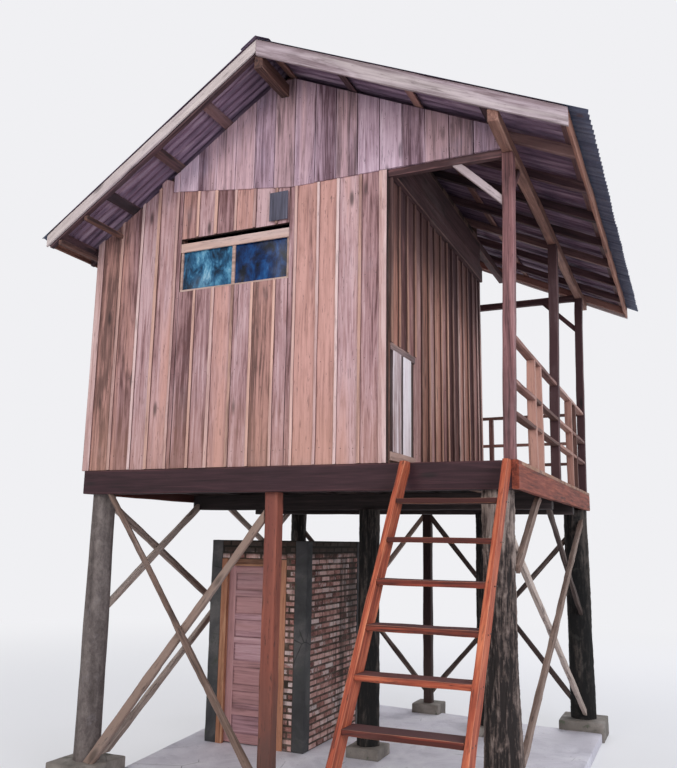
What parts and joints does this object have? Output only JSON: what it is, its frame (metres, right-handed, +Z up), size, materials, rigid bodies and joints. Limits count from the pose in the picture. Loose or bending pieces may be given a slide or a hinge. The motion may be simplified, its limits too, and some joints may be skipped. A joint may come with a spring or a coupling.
{
  "type": "stilt house",
  "caption": "Board-walled room on a log-posted deck, with a roofed porch, railings, a ladder and a small brick room with a panelled door under the deck.",
  "frame": {"origin": "on the ground, on the slab's underside, below the middle of the deck's front edge", "axes": "+X to the right along the front, +Y to the back, +Z up"},
  "size_m": [4.8957, 6.7384, 6.338],
  "materials": {
    "concrete": "trowelled, pale grey",
    "footing_concrete": "rough cast",
    "smooth_log": "weathered, peeled",
    "bark_log": "rough dark bark",
    "red_timber": "sawn, oiled red-brown",
    "maroon_timber": "dark painted",
    "dark_timber": "sawn, dark",
    "orange_timber": "oiled orange-brown",
    "floor_timber": "sawn",
    "brace_timber": "weathered",
    "frame_timber": "sawn",
    "wall_timber": "sawn salmon-brown boards",
    "pale_timber": "weathered pale",
    "glass": "clear, dark behind",
    "door_timber": "mauve-brown, panelled",
    "porch_timber": "sawn, oiled",
    "roof_metal": "corrugated, slate blue-green",
    "ladder_timber": "oiled orange-red",
    "column_concrete": "rough cast, damp",
    "brick": "fired, pale mortar",
    "jamb_timber": "yellow-orange",
    "hinge_metal": "dull"
  },
  "bodies": {
    "house": {"slab": "concrete", "footings": "footing_concrete", "front_left_log": "smooth_log", "front_right_log": "bark_log", "rear_logs": "bark_log", "squared_posts": "red_timber", "front_beam": "maroon_timber", "cross_beams": "dark_timber", "side_beams": "orange_timber", "joists": "dark_timber", "floor_boards": "floor_timber", "front_braces": "brace_timber", "side_braces": "brace_timber", "rear_braces": "brace_timber", "studs": "frame_timber", "front_wall": "wall_timber", "left_wall": "wall_timber", "porch_wall": "wall_timber", "rear_wall": "wall_timber", "gable_boards": "wall_timber", "wall_patch": "pale_timber", "window_frame": "pale_timber", "window_glass": "glass", "upper_door": "door_timber", "porch_posts": "porch_timber", "plates": "frame_timber", "porch_ties": "porch_timber", "side_railing": "porch_timber", "rear_railing": "porch_timber", "rafters": "frame_timber", "purlins": "frame_timber", "bargeboards": "pale_timber", "eave_boards": "pale_timber", "left_sheet": "roof_metal", "right_sheet": "roof_metal", "ridge_cap": "roof_metal", "stringers": "ladder_timber", "treads": "ladder_timber", "columns": "column_concrete", "brick_walls": "brick", "door_frame": "jamb_timber", "frame_hinges": "hinge_metal"},
    "door": {"door_leaf": "door_timber", "leaf_hinges": "hinge_metal"}
  },
  "joints": [
    {"name": "door_hinge", "type": "hinge", "parent": "house", "child": "door", "pos_m": [-1.366, 1.6225, 1], "axis": [0, 0, 1], "range_deg": [0, 90]}
  ]
}
